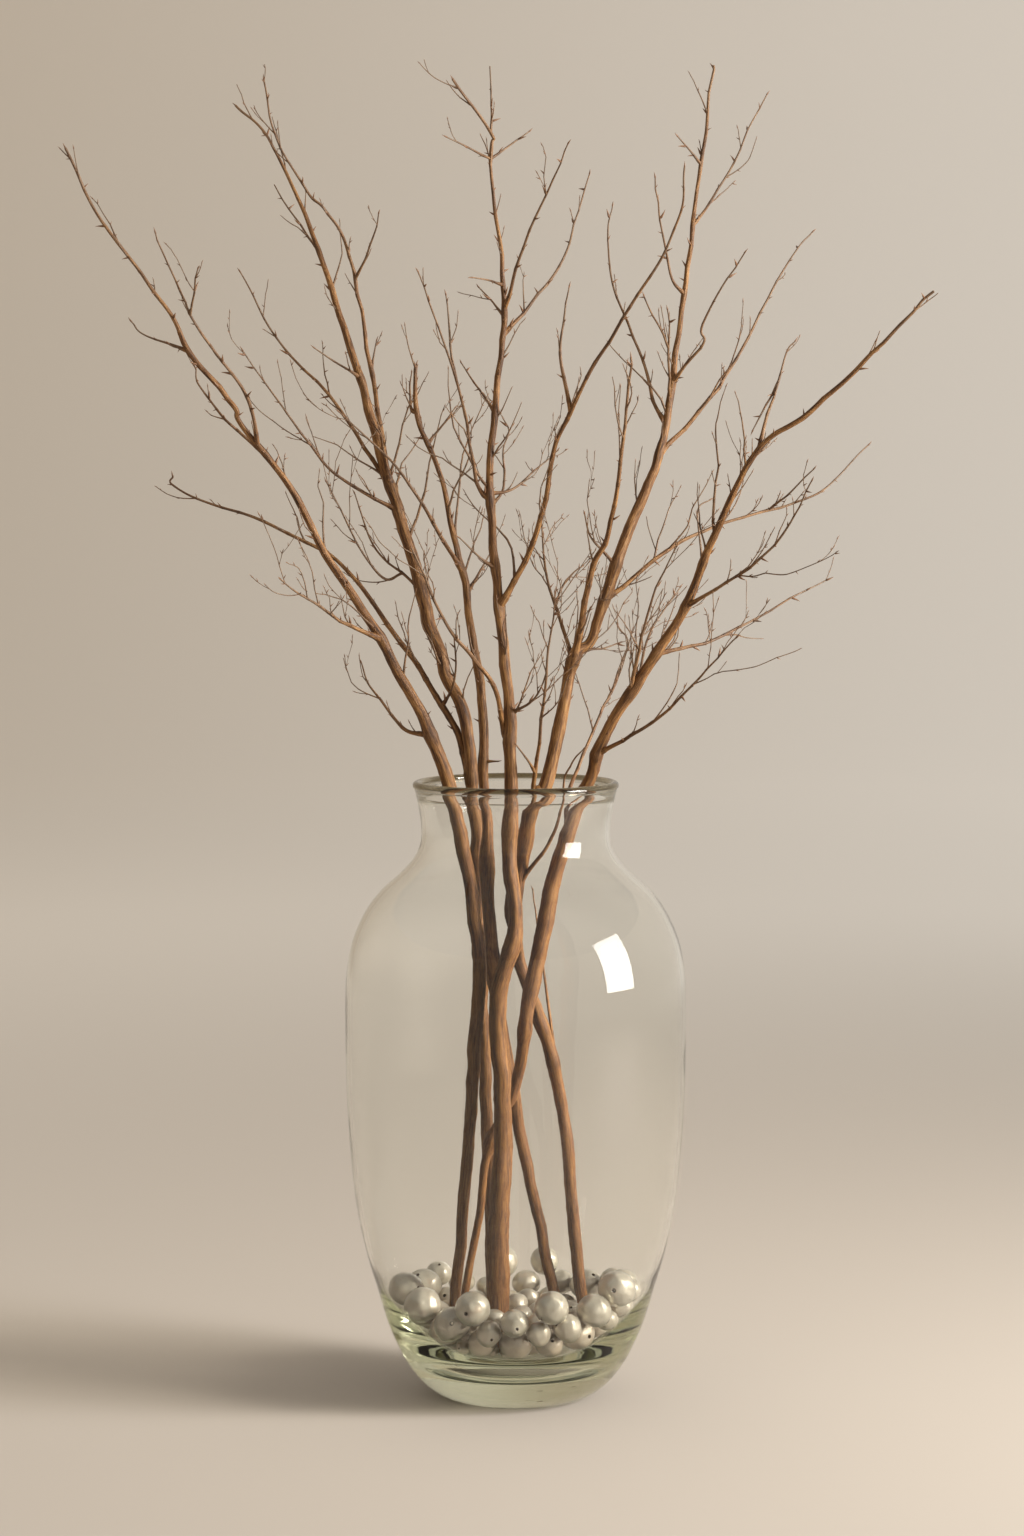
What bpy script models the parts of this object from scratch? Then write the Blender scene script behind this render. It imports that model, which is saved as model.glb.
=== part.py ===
"""Curly willow stems in a heavy glass vase, held at the foot by a bed of loose pearls.

Frame: the origin is the centre of the vase's flat foot, +Z up, +X to the right of the arrangement
and -Y towards its front. Route and outline points are in millimetres, and MM turns them into metres.

Every stem grew as one piece, so its side shoots are joined to it in one solid. Stems, pearls and
vase are separate solids that only rest on one another, each a small gap clear of its neighbours.
"""

import math
import random
from dataclasses import dataclass, field

import bmesh
import bpy
import numpy as np
from mathutils import Vector

MM = 0.001
GAP = 0.3                    # air between pieces that touch

# Vase: the outline runs up the outside from the flat foot to the waist under the lip.
VASE_OUTLINE = [             # (radius, height)
    (55, 0), (67, 5), (79, 15), (90, 30), (98.5, 47), (105, 63), (113, 90), (121, 117), (129, 155),
    (133.5, 195), (136.5, 240), (137.5, 285), (137.6, 326), (136, 350), (131, 373), (121, 395),
    (108, 412), (94, 424.5), (83, 436.5), (77.5, 447), (76, 457), (76.8, 470), (79, 483),
]
LIP_RADIUS = 79.4            # middle of the rolled lip's bead
LIP_HEIGHT = 496.4
LIP_BEAD = 3.6
WALL = 3.8                   # glass thickness above the heavy foot
WALL_FROM = 113              # height from which the wall has that thickness
CAVITY_FLOOR = [             # (radius, height) of the bowl-shaped floor inside the foot
    (0, 28), (30, 29), (52, 32), (70, 38), (84, 48), (95, 62), (104, 79), (111, 98),
]
VASE_SEGMENTS = 40

# Pearls
PEARL_COUNT = 52
PEARL_DIAMETERS = [30, 28, 27, 25, 23, 20]
PEARL_SEED = 11
PEARL_OUTWARD = 0.8          # how much a place nearer the glass is preferred to a lower one
PEARL_CLEARANCE = 0.8        # to glass and stems, whose facets stand a little proud of their curves
BED_RADIUS = 104             # furthest that a pearl's middle may lie from the vase's axis

# Stems
STEM_SIDES = 7
SHOOT_SIDES = 4
SHOOT_TIP = 1.0              # radius of a shoot's last point


@dataclass
class Shoot:
    """A side shoot: its route from the wood it grows from to its tip, and its radius there."""
    route: list
    radius: float


@dataclass
class Stem:
    """A stem standing in the vase: route points carry a fourth value, the radius there."""
    route: list
    colour: tuple = (0.30, 0.17, 0.08)
    shoots: list = field(default_factory=list)


STEMS = {
    "stem_far_left": Stem(
        route=[(-54, -22, 38, 4.5), (-45, -20, 120, 4.5), (-30, -25, 340, 5.5), (-35, -25, 405, 5.5),
               (-55, -30, 505, 5.5), (-95, -40, 595, 4), (-150, -50, 685, 3), (-180, -60, 740, 2.5),
               (-215, -65, 785, 2), (-220, -70, 800, 2), (-255, -75, 840, 2), (-270, -80, 875, 1.5),
               (-320, -90, 940, 1.2), (-345, -100, 995, 1)],
        shoots=[
            Shoot([(-255, -75, 840), (-290, -65, 855), (-300, -60, 865)], 1.2),
            Shoot([(-110, -40, 615), (-135, -70, 630), (-180, -140, 665)], 2.0),
            Shoot([(-65, -35, 540), (-90, -25, 545), (-115, -5, 575), (-125, 10, 595)], 1.8),
            Shoot([(-195, -65, 760), (-225, -50, 785), (-250, -30, 815), (-255, -20, 830)], 1.6),
            Shoot([(-200, -65, 770), (-210, -85, 810), (-245, -125, 860), (-270, -175, 925)], 1.6),
        ]),
    "stem_left": Stem(
        route=[(-17, 24, 34, 5), (-20, 28, 100, 5), (-35, 50, 495, 5), (-65, 65, 585, 5),
               (-85, 85, 675, 5), (-150, 130, 890, 2.5), (-200, 165, 1015, 1.2), (-235, 180, 1055, 1)],
        shoots=[
            Shoot([(-105, 95, 735), (-110, 95, 780), (-135, 85, 920), (-155, 80, 960), (-170, 80, 975),
                   (-195, 75, 1020), (-205, 70, 1065)], 2.4),
            Shoot([(-35, 50, 495), (-60, 60, 555), (-150, 90, 675), (-275, 125, 730),
                   (-285, 130, 745)], 3.0),
            Shoot([(-105, 95, 735), (-150, 115, 805), (-200, 135, 860), (-230, 150, 915)], 2.0),
            Shoot([(-100, 90, 715), (-140, 80, 740), (-165, 65, 765), (-220, 30, 845)], 1.6),
            Shoot([(-130, 85, 905), (-120, 65, 925), (-110, 30, 955)], 1.2),
            Shoot([(-165, 140, 930), (-205, 200, 990)], 1.2),
            Shoot([(-80, 80, 650), (-115, 100, 685), (-135, 130, 730)], 1.2),
        ]),
    "stem_back_left": Stem(
        route=[(41, 10, 35, 4.5), (25, 10, 110, 4.5), (-15, 10, 320, 5.5), (-25, 15, 500, 4),
               (-30, 30, 590, 3.5), (-60, 50, 740, 2), (-80, 55, 790, 2), (-80, 60, 835, 1.5)],
        shoots=[
            Shoot([(-45, 40, 665), (-90, 10, 745), (-140, -20, 795)], 2.0),
            Shoot([(-40, 35, 650), (-20, 80, 685)], 1.6),
        ]),
    "stem_centre": Stem(
        route=[(-15, -40, 36, 9), (-15, -40, 110, 9), (-10, -35, 245, 7), (-15, -35, 325, 7),
               (0, -35, 380, 5.5), (-5, -30, 445, 6), (-5, -25, 555, 4.5), (-20, -20, 735, 3),
               (-10, -15, 870, 2), (-20, 0, 995, 1.2), (-20, 0, 1015, 1.2), (-50, -25, 1055, 1)],
        shoots=[
            Shoot([(-10, -10, 875), (5, -35, 920), (40, -85, 1000)], 1.6),
            Shoot([(-15, -15, 855), (20, 10, 890), (40, 30, 925), (60, 70, 990)], 1.6),
            Shoot([(-10, -20, 640), (15, -40, 695), (40, -75, 790), (115, -145, 920),
                   (125, -170, 975)], 2.6),
            Shoot([(45, -80, 790), (35, -85, 840), (40, -90, 890)], 1.8),
            Shoot([(-20, -20, 725), (-30, -25, 740), (-45, -65, 815), (-75, -120, 900)], 1.6),
            Shoot([(-5, -25, 535), (-10, -25, 545), (-20, -45, 585), (-55, -70, 630),
                   (-80, -110, 690)], 2.4),
        ]),
    "stem_right_centre": Stem(
        route=[(61, 5, 41, 5), (50, 5, 110, 5), (35, 10, 250, 5), (0, 5, 370, 5), (5, -5, 435, 5.5),
               (15, -20, 490, 5.5), (25, -20, 500, 5.5), (45, -15, 595, 4.5), (60, -10, 615, 4),
               (80, -5, 675, 4.5), (115, 10, 760, 3.5), (125, 20, 815, 2.5), (160, 60, 1075, 1)],
        shoots=[
            Shoot([(45, -15, 595), (60, -35, 670), (75, -50, 710), (90, -100, 835)], 3.2),
            Shoot([(115, 10, 760), (170, 45, 825), (225, 95, 920), (245, 110, 945)], 2.0),
            Shoot([(120, 15, 785), (110, 20, 805), (100, 35, 845), (80, 60, 895), (75, 80, 945),
                   (80, 90, 965)], 1.6),
            Shoot([(125, 20, 820), (150, 5, 850), (150, 0, 865), (180, -30, 920)], 1.4),
            Shoot([(140, 40, 945), (170, 55, 985), (205, 90, 1055)], 1.2),
            Shoot([(70, -5, 645), (140, 20, 695), (245, 65, 730), (290, 90, 770)], 2.0),
            Shoot([(50, -15, 595), (25, 25, 665), (20, 60, 710)], 1.8),
            Shoot([(15, -15, 475), (20, -50, 550), (30, -110, 655)], 2.0),
        ]),
    "stem_right": Stem(
        route=[(-51, -5, 36, 3.2), (-35, -5, 115, 3.2), (-20, -10, 205, 3.5), (0, -10, 255, 4.5),
               (10, -15, 315, 5.5), (25, -5, 395, 6.5), (50, 5, 480, 5.5), (60, 5, 500, 5),
               (75, -5, 545, 4.5), (135, -25, 640, 3.5), (155, -40, 695, 3), (190, -65, 765, 2),
               (235, -80, 800, 2), (320, -115, 885, 1)],
        shoots=[
            Shoot([(45, 0, 455), (45, 20, 495), (90, 85, 595), (85, 100, 620)], 2.0),
            Shoot([(190, -65, 765), (210, -45, 835), (220, -40, 850)], 1.6),
            Shoot([(65, 0, 520), (115, -40, 555), (170, -120, 620)], 1.8),
            Shoot([(115, -15, 600), (165, 10, 615), (255, 70, 660)], 1.6),
            Shoot([(135, -25, 640), (180, -65, 670), (210, -105, 705), (225, -150, 740)], 1.6),
            Shoot([(90, -10, 570), (105, -50, 640), (125, -90, 690)], 1.6),
            Shoot([(95, -10, 580), (110, 20, 620), (135, 50, 655)], 1.2),
        ]),
}


def clear_scene():
    """Remove every object that the file starts with."""
    for obj in list(bpy.data.objects):
        bpy.data.objects.remove(obj, do_unlink=True)


def principled(name, colour, roughness, transmission=0.0):
    """Return a Principled BSDF material with the given colour, roughness and transmission."""
    material = bpy.data.materials.new(name)
    material.use_nodes = True
    shader = material.node_tree.nodes["Principled BSDF"]
    shader.inputs["Base Color"].default_value = (*colour, 1.0)
    shader.inputs["Roughness"].default_value = roughness
    shader.inputs["Metallic"].default_value = 0.0
    shader.inputs["Transmission Weight"].default_value = transmission
    material.diffuse_color = (*colour, 1.0)
    return material


def add_object(name, mesh_builder, material):
    """Make a smooth-shaded object from a finished bmesh and link it to the scene."""
    mesh = bpy.data.meshes.new(name)
    mesh_builder.to_mesh(mesh)
    mesh_builder.free()
    mesh.shade_smooth()
    mesh.materials.append(material)
    obj = bpy.data.objects.new(name, mesh)
    bpy.context.scene.collection.objects.link(obj)
    return obj


def smooth_points(points, steps):
    """Return points on the Catmull-Rom curve through the given rows, with steps in each span."""
    rows = np.array(points, dtype=float)
    before = np.vstack([2 * rows[0] - rows[1], rows, 2 * rows[-1] - rows[-2]])
    curve = []
    for i in range(len(rows) - 1):
        p0, p1, p2, p3 = before[i:i + 4]
        for k in range(steps):
            t = k / steps
            curve.append(0.5 * (2 * p1 + (p2 - p0) * t + (2 * p0 - 5 * p1 + 4 * p2 - p3) * t ** 2
                                + (3 * p1 - p0 - 3 * p2 + p3) * t ** 3))
    curve.append(rows[-1])
    return np.array(curve)


def nearest_on(curve, point):
    """Return the point of a dense curve (x, y, z, radius) that is nearest to the given point."""
    distances = np.linalg.norm(curve[:, :3] - np.array(point[:3], dtype=float), axis=1)
    return curve[int(distances.argmin())]


def tube(curve, sides):
    """Return a closed tapered tube as a bmesh, from rows of (x, y, z, radius) in millimetres."""
    bm = bmesh.new()
    points = [Vector(row[:3]) for row in curve]
    side = Vector((1, 0, 0))
    rings = []
    for i, point in enumerate(points):
        tangent = (points[min(i + 1, len(points) - 1)] - points[max(i - 1, 0)]).normalized()
        side = (side - tangent * side.dot(tangent)).normalized()
        other = tangent.cross(side)
        ring = []
        for k in range(sides):
            angle = 2 * math.pi * k / sides
            offset = (side * math.cos(angle) + other * math.sin(angle)) * curve[i][3]
            ring.append(bm.verts.new((point + offset) * MM))
        rings.append(ring)
    for low, high in zip(rings[:-1], rings[1:]):
        for k in range(sides):
            n = (k + 1) % sides
            bm.faces.new((low[k], low[n], high[n], high[k]))
    bm.faces.new(list(reversed(rings[0])))
    bm.faces.new(rings[-1])
    return bm


def lathe(profile, segments):
    """Return a closed turned body from a closed loop of (radius, height), in millimetres.

    The loop starts and ends on the axis: it runs up the outside, over the lip and down the inside.
    """
    bm = bmesh.new()
    rings = []
    for radius, height in profile:
        if radius == 0:
            rings.append([bm.verts.new((0, 0, height * MM))])
            continue
        ring = []
        for k in range(segments):
            angle = 2 * math.pi * k / segments
            ring.append(bm.verts.new((radius * math.cos(angle) * MM, radius * math.sin(angle) * MM,
                                      height * MM)))
        rings.append(ring)
    for low, high in zip(rings[:-1], rings[1:]):
        for k in range(segments):
            n = (k + 1) % segments
            if len(high) == 1:
                bm.faces.new((low[k], low[n], high[0]))
            else:
                bm.faces.new((low[k], low[n], high[n], high[k]))
    bm.faces.new(list(reversed(rings[0])))
    bmesh.ops.recalc_face_normals(bm, faces=bm.faces)
    return bm


def inner_wall():
    """Return the inner wall's (radius, height) points, a wall's thickness inside the outline."""
    inside = []
    for before, here, after in zip(VASE_OUTLINE[:-2], VASE_OUTLINE[1:-1], VASE_OUTLINE[2:]):
        if here[1] < WALL_FROM:
            continue
        slope = Vector((after[0] - before[0], after[1] - before[1])).normalized()
        inside.append((here[0] - WALL * slope.y, here[1] + WALL * slope.x))
    inside.append((VASE_OUTLINE[-1][0] - WALL, VASE_OUTLINE[-1][1]))
    return inside


def vase_profile():
    """Return the whole closed (radius, height) loop of the vase."""
    bead = []
    for step in range(7):
        angle = math.radians(-50 + step * 280 / 6)
        bead.append((LIP_RADIUS + LIP_BEAD * math.cos(angle), LIP_HEIGHT + LIP_BEAD * math.sin(angle)))
    floor = list(reversed(CAVITY_FLOOR))
    return VASE_OUTLINE + bead + list(reversed(inner_wall())) + floor


def build_vase():
    """Make the vase: a shouldered glass body on a thick foot, with a rolled lip."""
    glass = principled("vase_glass", (0.78, 0.84, 0.72), 0.02, transmission=1.0)
    return add_object("vase", lathe(vase_profile(), VASE_SEGMENTS), glass)


def build_stem(name, stem):
    """Make one stem with its side shoots joined to it in a single solid.

    Returns the stem's own curve, as rows of (x, y, z, radius).
    """
    bark = principled(name + "_bark", stem.colour, 0.75)
    main = smooth_points(stem.route, 3)
    obj = add_object(name, tube(main, STEM_SIDES), bark)
    grown = [smooth_points(stem.route, 24)]
    group = bpy.data.collections.new(name + "_shoots")
    bpy.context.scene.collection.children.link(group)
    for number, shoot in enumerate(stem.shoots, 1):
        start = nearest_on(np.vstack(grown), shoot.route[0])
        points = [tuple(start[:3])] + shoot.route[1:]
        spread = [0.0]
        for a, b in zip(points[:-1], points[1:]):
            spread.append(spread[-1] + math.dist(a, b))
        rows = [(*p, shoot.radius + (SHOOT_TIP - shoot.radius) * s / spread[-1])
                for p, s in zip(points, spread)]
        grown.append(smooth_points(rows, 24))
        helper = add_object(f"{name}_shoot_{number}", tube(smooth_points(rows, 2), SHOOT_SIDES), bark)
        bpy.context.scene.collection.objects.unlink(helper)
        group.objects.link(helper)
        helper.hide_render = True
        helper.display_type = "WIRE"
    union = obj.modifiers.new("shoots", "BOOLEAN")
    union.operation = "UNION"
    union.solver = "EXACT"
    union.operand_type = "COLLECTION"
    union.collection = group
    return grown[0]


def height_over_glass(across, radius):
    """Return how high a ball's middle stands over the cavity, at each distance from the axis."""
    wall = [point for point in inner_wall() if point[1] < 200]
    surface = smooth_points(CAVITY_FLOOR + wall, 12)
    reach = radius + PEARL_CLEARANCE
    offset = across[:, None] - surface[None, :, 0]
    rise = np.sqrt(np.maximum(reach ** 2 - offset ** 2, 0.0))
    standing = np.where(np.abs(offset) < reach, surface[None, :, 1] + rise, 0.0)
    return standing.max(axis=1)


def pack_pearls(stem_curves):
    """Drop pearls one by one into the lowest free place of the bed, against the glass first.

    Returns a list of (x, y, z, radius) in millimetres.
    """
    chance = random.Random(PEARL_SEED)
    spots = [(r * math.cos(a), r * math.sin(a))
             for r in np.arange(2.0, BED_RADIUS, 2.0)
             for a in np.arange(0.0, 2 * math.pi, 3.0 / r)]
    spots = np.array(spots)
    across = np.hypot(spots[:, 0], spots[:, 1])
    wood = np.vstack([curve[curve[:, 2] < 170] for curve in stem_curves])
    placed = []
    for _ in range(PEARL_COUNT):
        radius = chance.choice(PEARL_DIAMETERS) / 2
        height = height_over_glass(across, radius)
        for x, y, z, other in placed:
            reach = radius + other + GAP
            flat = (spots[:, 0] - x) ** 2 + (spots[:, 1] - y) ** 2
            over = z + np.sqrt(np.maximum(reach ** 2 - flat, 0.0))
            height = np.where(flat < reach ** 2, np.maximum(height, over), height)
        middle = np.column_stack([spots, height])
        to_wood = np.linalg.norm(middle[:, None, :] - wood[None, :, :3], axis=2)
        free = (to_wood - wood[None, :, 3]).min(axis=1) > radius + PEARL_CLEARANCE
        inside = across + radius < BED_RADIUS + 3
        cost = np.where(free & inside, height - PEARL_OUTWARD * across, np.inf)
        best = int(cost.argmin())
        placed.append((spots[best, 0], spots[best, 1], height[best], radius))
    return placed


def build_pearls(stem_curves):
    """Make the loose pearls that hold the stems' feet."""
    for number, (x, y, z, radius) in enumerate(pack_pearls(stem_curves), 1):
        bm = bmesh.new()
        bmesh.ops.create_icosphere(bm, subdivisions=2, radius=radius * MM)
        pearl = principled(f"pearl_{number:02d}_nacre", (0.90, 0.84, 0.76), 0.18)
        obj = add_object(f"pearl_{number:02d}", bm, pearl)
        obj.location = (x * MM, y * MM, z * MM)
        obj.rotation_euler = (0.3 * number, 0.7 * number, 0.0)


def main():
    """Build the whole arrangement."""
    clear_scene()
    build_vase()
    curves = [build_stem(name, stem) for name, stem in STEMS.items()]
    build_pearls(curves)


main()
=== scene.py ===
"""Bare curly willow stems standing in a heavy glass vase on a bed of loose pearls.

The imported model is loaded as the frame. The stems, the vase and the pearls are then modelled again
with their bark, shoots, twigs, buds, glass and nacre, each in the place that its CAD node holds, and
stand in a pale studio with a window on the right.
"""

import logging
import math
import random
from dataclasses import dataclass, field
from enum import Enum
from typing import Callable, Sequence, Union

import bpy
import numpy as np
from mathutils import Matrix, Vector, noise


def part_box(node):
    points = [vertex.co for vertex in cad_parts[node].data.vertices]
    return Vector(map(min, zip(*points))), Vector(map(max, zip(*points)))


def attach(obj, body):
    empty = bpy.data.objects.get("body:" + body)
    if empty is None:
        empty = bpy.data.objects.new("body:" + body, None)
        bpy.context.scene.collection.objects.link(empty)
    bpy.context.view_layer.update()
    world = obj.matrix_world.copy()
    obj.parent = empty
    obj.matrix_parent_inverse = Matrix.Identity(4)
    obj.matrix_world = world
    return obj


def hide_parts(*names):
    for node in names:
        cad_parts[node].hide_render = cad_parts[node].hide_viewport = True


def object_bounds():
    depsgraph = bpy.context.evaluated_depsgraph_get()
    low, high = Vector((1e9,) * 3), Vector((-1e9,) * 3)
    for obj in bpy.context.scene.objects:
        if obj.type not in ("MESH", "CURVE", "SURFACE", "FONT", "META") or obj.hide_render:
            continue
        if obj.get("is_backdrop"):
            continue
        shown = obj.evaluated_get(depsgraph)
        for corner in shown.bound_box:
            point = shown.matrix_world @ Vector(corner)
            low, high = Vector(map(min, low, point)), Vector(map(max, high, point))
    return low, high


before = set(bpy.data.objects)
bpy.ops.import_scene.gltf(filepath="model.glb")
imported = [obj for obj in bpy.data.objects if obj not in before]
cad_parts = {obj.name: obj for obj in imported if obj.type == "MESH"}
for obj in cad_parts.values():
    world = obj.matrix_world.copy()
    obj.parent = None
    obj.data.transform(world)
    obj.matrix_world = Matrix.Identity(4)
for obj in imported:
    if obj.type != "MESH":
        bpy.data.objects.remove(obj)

LOG = logging.getLogger("willow")
MM = 0.001
FULL_TURN = 6.28
FLOOR_DROP = 0.0002          # the floor lies a hair under the foot, so that the two faces never fight


# ----- Node trees -----

def operator(operation: str, reflected: bool = False) -> Callable:
    """Return a method that adds a Math node on a Value and another operand.

    Args:
        operation: the Math node's operation.
        reflected: whether the other operand comes first.

    Returns:
        The method.
    """
    def method(self: "Value", other: "Operand") -> "Value":
        """Return the operation's result."""
        return self.net.math(operation, *((other, self) if reflected else (self, other)))
    return method


class Value:
    """What comes out of a node's socket, with arithmetic that adds Math nodes."""

    __add__, __radd__ = operator("ADD"), operator("ADD", True)
    __sub__, __rsub__ = operator("SUBTRACT"), operator("SUBTRACT", True)
    __mul__, __rmul__ = operator("MULTIPLY"), operator("MULTIPLY", True)
    __truediv__, __rtruediv__ = operator("DIVIDE"), operator("DIVIDE", True)
    __pow__ = operator("POWER")

    def __init__(self, net: "Net", socket: bpy.types.NodeSocket) -> None:
        """Keep the tree and the socket."""
        self.net = net
        self.socket = socket


Operand = Union[Value, float]


class Made:
    """A node that has been added; indexing it by an output's name or number gives a Value."""

    def __init__(self, net: "Net", node: bpy.types.Node) -> None:
        """Keep the tree and the node."""
        self.net = net
        self.node = node

    def __getitem__(self, key: Union[str, int]) -> Value:
        """Return the output with that name or number."""
        return Value(self.net, self.node.outputs[key])


class Net:
    """A shader or geometry node tree that is written as expressions."""

    def __init__(self, tree: bpy.types.NodeTree) -> None:
        """Keep the tree."""
        self.tree = tree

    def add(self, kind: str, settings: dict = None, sockets: dict = None) -> Made:
        """Add a node.

        Args:
            kind: the node's type, such as "ShaderNodeTexNoise".
            settings: its properties, set before its sockets; "stops" fills a colour ramp.
            sockets: input name or number to a plain value or a Value to link.

        Returns:
            The node, ready to be indexed by output.
        """
        node = self.tree.nodes.new(kind)
        for name, setting in (settings or {}).items():
            if name == "stops":
                self._fill_ramp(node.color_ramp, setting)
            else:
                setattr(node, name, setting)
        for key, given in (sockets or {}).items():
            if isinstance(given, Value):
                self.tree.links.new(given.socket, node.inputs[key])
            else:
                node.inputs[key].default_value = given
        return Made(self, node)

    @staticmethod
    def _fill_ramp(ramp: bpy.types.ColorRamp, stops: Sequence[tuple]) -> None:
        """Give a colour ramp its stops, as (place, colour) pairs."""
        while len(ramp.elements) > 1:
            ramp.elements.remove(ramp.elements[-1])
        ramp.elements[0].position = stops[0][0]
        ramp.elements[0].color = (*stops[0][1], 1.0)
        for place, colour in stops[1:]:
            ramp.elements.new(place).color = (*colour, 1.0)

    def math(self, operation: str, *operands: Operand) -> Value:
        """Add a Math node on one to three operands and return its result."""
        return self.add("ShaderNodeMath", {"operation": operation}, dict(enumerate(operands)))["Value"]

    def scaled(self, vector: Value, factor: Operand) -> Value:
        """Return a vector times a number."""
        return self.add("ShaderNodeVectorMath", {"operation": "SCALE"}, {0: vector, "Scale": factor})[0]

    def xyz(self, x: Operand, y: Operand, z: Operand) -> Value:
        """Return the vector of three numbers."""
        return self.add("ShaderNodeCombineXYZ", None, {"X": x, "Y": y, "Z": z})["Vector"]

    def split(self, vector: Value) -> tuple[Value, Value, Value]:
        """Return the three numbers of a vector."""
        parts = self.add("ShaderNodeSeparateXYZ", None, {"Vector": vector})
        return parts["X"], parts["Y"], parts["Z"]

    def span(self, value: Value, low: float, high: float, to_low: float = 0.0,
             to_high: float = 1.0) -> Value:
        """Return value mapped smoothly from low..high to to_low..to_high, and held beyond them."""
        settings = {"interpolation_type": "SMOOTHSTEP"}
        sockets = {"Value": value, "From Min": low, "From Max": high, "To Min": to_low,
                   "To Max": to_high}
        return self.add("ShaderNodeMapRange", settings, sockets)["Result"]

    def mix(self, factor: Operand, a: Union[Value, tuple], b: Union[Value, tuple]) -> Value:
        """Return colour a where factor is 0 and colour b where it is 1."""
        def rgba(colour: Union[Value, tuple]) -> Union[Value, tuple]:
            """Return a colour with its alpha, or the Value unchanged."""
            return colour if isinstance(colour, Value) else (*colour, 1.0)
        sockets = {0: factor, 6: rgba(a), 7: rgba(b)}
        return self.add("ShaderNodeMix", {"data_type": "RGBA"}, sockets)[2]

    def noise(self, vector: Value, scale: float, detail: float = 2.0, rough: float = 0.5) -> Value:
        """Return a noise texture's value, 0 to 1."""
        sockets = {"Vector": vector, "Scale": scale, "Detail": detail, "Roughness": rough}
        return self.add("ShaderNodeTexNoise", None, sockets)[0]


class Surface(Net):
    """A new material's node tree, with its Principled shader."""

    def __init__(self, name: str) -> None:
        """Make the material and keep its shader."""
        self.material = bpy.data.materials.new(name)
        self.material.use_nodes = True
        super().__init__(self.material.node_tree)
        self.shader = self.tree.nodes["Principled BSDF"]
        self.output = self.tree.nodes["Material Output"]

    def set(self, **sockets: object) -> None:
        """Set or link the shader's sockets; an underscore in a name stands for a space."""
        for name, given in sockets.items():
            socket = self.shader.inputs[name.replace("_", " ")]
            if isinstance(given, Value):
                self.tree.links.new(given.socket, socket)
            else:
                socket.default_value = given

    def attribute(self, name: str, output: str = "Fac") -> Value:
        """Return one of the mesh's own attributes."""
        return self.add("ShaderNodeAttribute", {"attribute_name": name})[output]

    def place(self) -> Value:
        """Return the Object coordinates, which are the frame's own."""
        return self.add("ShaderNodeTexCoord")["Object"]

    def bump(self, height: Value, distance: float, strength: float = 1.0) -> Value:
        """Return a normal bent by a height field, distance metres high."""
        sockets = {"Height": height, "Distance": distance, "Strength": strength}
        return self.add("ShaderNodeBump", None, sockets)["Normal"]


# ----- Finishes -----

@dataclass(frozen=True)
class Bark:
    """Dry willow bark: fibres along the wood, dark cracks, knots, and paler wood from about the vase's
    lip down, partly the lower stems' own tone and partly painted light.
    """

    name: str
    deep: tuple = (0.036, 0.014, 0.004)
    middle: tuple = (0.150, 0.060, 0.013)
    bright: tuple = (0.400, 0.205, 0.066)
    # The paler colours of the lower wood are partly its own tone and partly painted light, making up
    # for the light that the glass holds back.
    foot_tone_and_light_dark: tuple = (0.190, 0.075, 0.022)
    foot_tone_and_light: tuple = (0.445, 0.200, 0.050)
    grey: tuple = (0.180, 0.115, 0.070)
    fibre_width: float = 0.7 * MM
    relief: float = 0.45 * MM

    def material(self) -> bpy.types.Material:
        """Return the bark material."""
        s = Surface(self.name)
        rim_x, rim_y, _ = s.split(s.attribute("rim", "Vector"))
        along = s.attribute("along")
        girth = s.attribute("girth")
        knot = s.attribute("knot")
        _, _, height = s.split(s.place())
        flow = s.xyz(rim_x * girth, rim_y * girth, along * 0.055)
        fibres = s.noise(flow, 1 / self.fibre_width, detail=8.0, rough=0.75)
        strands = s.noise(s.xyz(rim_x * girth, rim_y * girth, along * 0.10), 0.28 / self.fibre_width)
        patches = s.noise(s.place(), 34.0, detail=3.0)
        blend = fibres * 0.55 + strands * 0.30 + patches * 0.15
        ramp = s.add("ShaderNodeValToRGB", {"stops": [(0.41, self.deep), (0.49, self.middle),
                                                      (0.61, self.bright)]}, {"Fac": blend})["Color"]
        thin = s.span(girth, 0.5 * MM, 2.0 * MM, 1.0, 0.0)
        thin_grey = s.mix(thin * s.span(patches, 0.35, 0.60, 0.35, 1.0), ramp, self.grey)
        pale = s.add("ShaderNodeValToRGB", {"stops": [(0.36, self.deep), (0.46, self.foot_tone_and_light_dark),
                                                      (0.60, self.foot_tone_and_light)]}, {"Fac": blend})["Color"]
        # Painted light: from about the lip down the wood turns paler and brighter, partly its own tone
        # and partly standing in for the light the glass holds back.
        foot_tone_and_light_mask = s.span(height + patches * 0.10, 0.49, 0.60, 0.92, 0.0)
        foot_tone_and_light = s.mix(foot_tone_and_light_mask, thin_grey, pale)
        knotted = s.mix(knot * 0.55, foot_tone_and_light, self.deep)
        lift = fibres * 0.8 + strands * 0.7 + knot * 0.3
        s.set(Base_Color=knotted, Roughness=s.span(fibres, 0.35, 0.65, 0.80, 0.50),
              Normal=s.bump(lift, self.relief, 0.9))
        return s.material


@dataclass(frozen=True)
class BudScale:
    """The smooth, pointed scale over a bud: reddish brown, paler at its tip."""

    name: str = "bud_scale"
    root: tuple = (0.150, 0.066, 0.028)
    tip: tuple = (0.300, 0.165, 0.085)

    def material(self) -> bpy.types.Material:
        """Return the bud material."""
        s = Surface(self.name)
        grain = s.noise(s.place(), 900.0, detail=3.0)
        colour = s.mix(s.attribute("reach"), self.root, self.tip)
        s.set(Base_Color=s.mix(grain * 0.5, colour, self.root), Roughness=0.55,
              Normal=s.bump(grain, 0.1 * MM, 0.6))
        return s.material


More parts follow.
